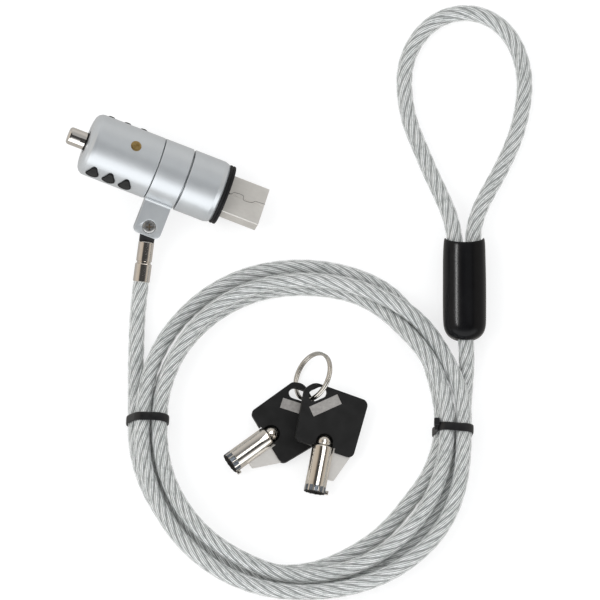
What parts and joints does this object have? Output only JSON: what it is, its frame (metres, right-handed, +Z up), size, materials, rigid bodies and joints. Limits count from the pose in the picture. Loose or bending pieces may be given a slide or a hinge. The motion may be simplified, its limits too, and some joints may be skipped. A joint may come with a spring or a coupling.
{
  "type": "laptop cable lock",
  "caption": "Cable lock for a laptop's USB-A port: barrel lock head with swivel clevis, coiled jacketed wire rope with anchor loop, and tubular keys on a split ring.",
  "frame": {"origin": "centre of the bottom face of the box round the lock head and the keys, on the surface everything lies on", "axes": "+Z up, +Y from the coil towards the anchor loop, +X towards the side of the anchor loop"},
  "size_m": [0.1337, 0.1763, 0.0253],
  "materials": {
    "rear_housing": "satin metallic paint",
    "nose_housing": "satin metallic paint",
    "gasket_ring": "matte",
    "plug_shell": "nickel plated",
    "plug_block": "matte",
    "retaining_pin": "bare brass",
    "grip_pads": "matte",
    "lock_cylinder": "turned",
    "tumbler_pins": "turned",
    "claw_pivot_pin": "turned",
    "key_post": "polished",
    "push_rod": "turned",
    "return_spring": "drawn wire",
    "locking_claw": "stamped",
    "swivel_collar": "satin metallic paint",
    "clevis_screw": "zinc plated",
    "clevis_nut": "zinc plated",
    "cable_eyelet": "black oxide",
    "eyelet_bush": "matte",
    "cable_ferrule": "polished nickel",
    "rope_end": "galvanised strands",
    "cable_lead": "galvanised strands under a clear jacket",
    "cable_coil": "galvanised strands under a clear jacket",
    "cable_loop": "galvanised strands under a clear jacket",
    "loop_sleeve": "glossy heat-shrink",
    "loop_crimp": "pressed",
    "cable_tie_left": "wire tie",
    "cable_tie_right": "wire tie",
    "split_ring": "polished nickel",
    "front_key_bow": "matte",
    "front_key_plate": "blank, brushed",
    "front_key_shank": "polished nickel",
    "front_key_fin": "nickel plated",
    "back_key_bow": "matte",
    "back_key_plate": "blank, brushed",
    "back_key_shank": "polished nickel",
    "back_key_fin": "nickel plated"
  },
  "bodies": {
    "cable": {"cable_eyelet": "cable_eyelet", "eyelet_bush": "eyelet_bush", "cable_ferrule": "cable_ferrule", "rope_end": "rope_end", "cable_lead": "cable_lead", "cable_coil": "cable_coil", "cable_loop": "cable_loop", "loop_sleeve": "loop_sleeve", "loop_crimp": "loop_crimp", "cable_tie_left": "cable_tie_left", "cable_tie_right": "cable_tie_right"},
    "collar": {"swivel_collar": "swivel_collar", "clevis_screw": "clevis_screw", "clevis_nut": "clevis_nut"},
    "lock_body": {"rear_housing": "rear_housing", "nose_housing": "nose_housing", "gasket_ring": "gasket_ring", "plug_shell": "plug_shell", "plug_block": "plug_block", "retaining_pin": "retaining_pin", "grip_pads": "grip_pads", "lock_cylinder": "lock_cylinder", "tumbler_pins": "tumbler_pins", "claw_pivot_pin": "claw_pivot_pin"},
    "plunger": {"key_post": "key_post", "push_rod": "push_rod", "return_spring": "return_spring"},
    "claw": {"locking_claw": "locking_claw"},
    "key_ring": {"split_ring": "split_ring"},
    "front_key": {"front_key_bow": "front_key_bow", "front_key_plate": "front_key_plate", "front_key_shank": "front_key_shank", "front_key_fin": "front_key_fin"},
    "back_key": {"back_key_bow": "back_key_bow", "back_key_plate": "back_key_plate", "back_key_shank": "back_key_shank", "back_key_fin": "back_key_fin"}
  },
  "joints": [
    {"name": "lug_swing", "type": "hinge", "parent": "cable", "child": "collar", "pos_m": [-0.01945, 0.02366, 0.00794], "axis": [0.0994, -0.2901, 0.9518], "range_deg": [-13, 50]},
    {"name": "head_swivel", "type": "hinge", "parent": "collar", "child": "lock_body", "pos_m": [-0.01361, 0.03827, 0.01179], "axis": [0.9275, -0.3194, -0.1942], "continuous": true},
    {"name": "post_push", "type": "slide", "parent": "lock_body", "child": "plunger", "axis": [0.9275, -0.3194, -0.1942], "range_m": [0, 0.004], "stiffness_N_per_m": 300, "deforming": ["return_spring"]},
    {"name": "claw_tilt", "type": "hinge", "parent": "lock_body", "child": "claw", "pos_m": [0.00336, 0.03219, 0.00707], "axis": [0.2824, 0.9391, -0.1956], "range_deg": [0, 6.05]},
    {"name": "keys_lift", "type": "slide", "parent": "cable", "child": "key_ring", "axis": [0, 0, 1], "range_m": [0, 0.06]},
    {"name": "front_key_swing", "type": "hinge", "parent": "key_ring", "child": "front_key", "pos_m": [0.02877, -0.02576, 0.00819], "axis": [0.22, -0.1371, 0.9658], "range_deg": [0, 14]},
    {"name": "back_key_swing", "type": "hinge", "parent": "key_ring", "child": "back_key", "pos_m": [0.02342, -0.02475, 0.00325], "axis": [0.068, -0.0471, 0.9966], "range_deg": [-24, 0]}
  ],
  "couplings": [
    {"joint": "claw_tilt", "follows": "post_push", "rad_per_m": 26.18}
  ]
}
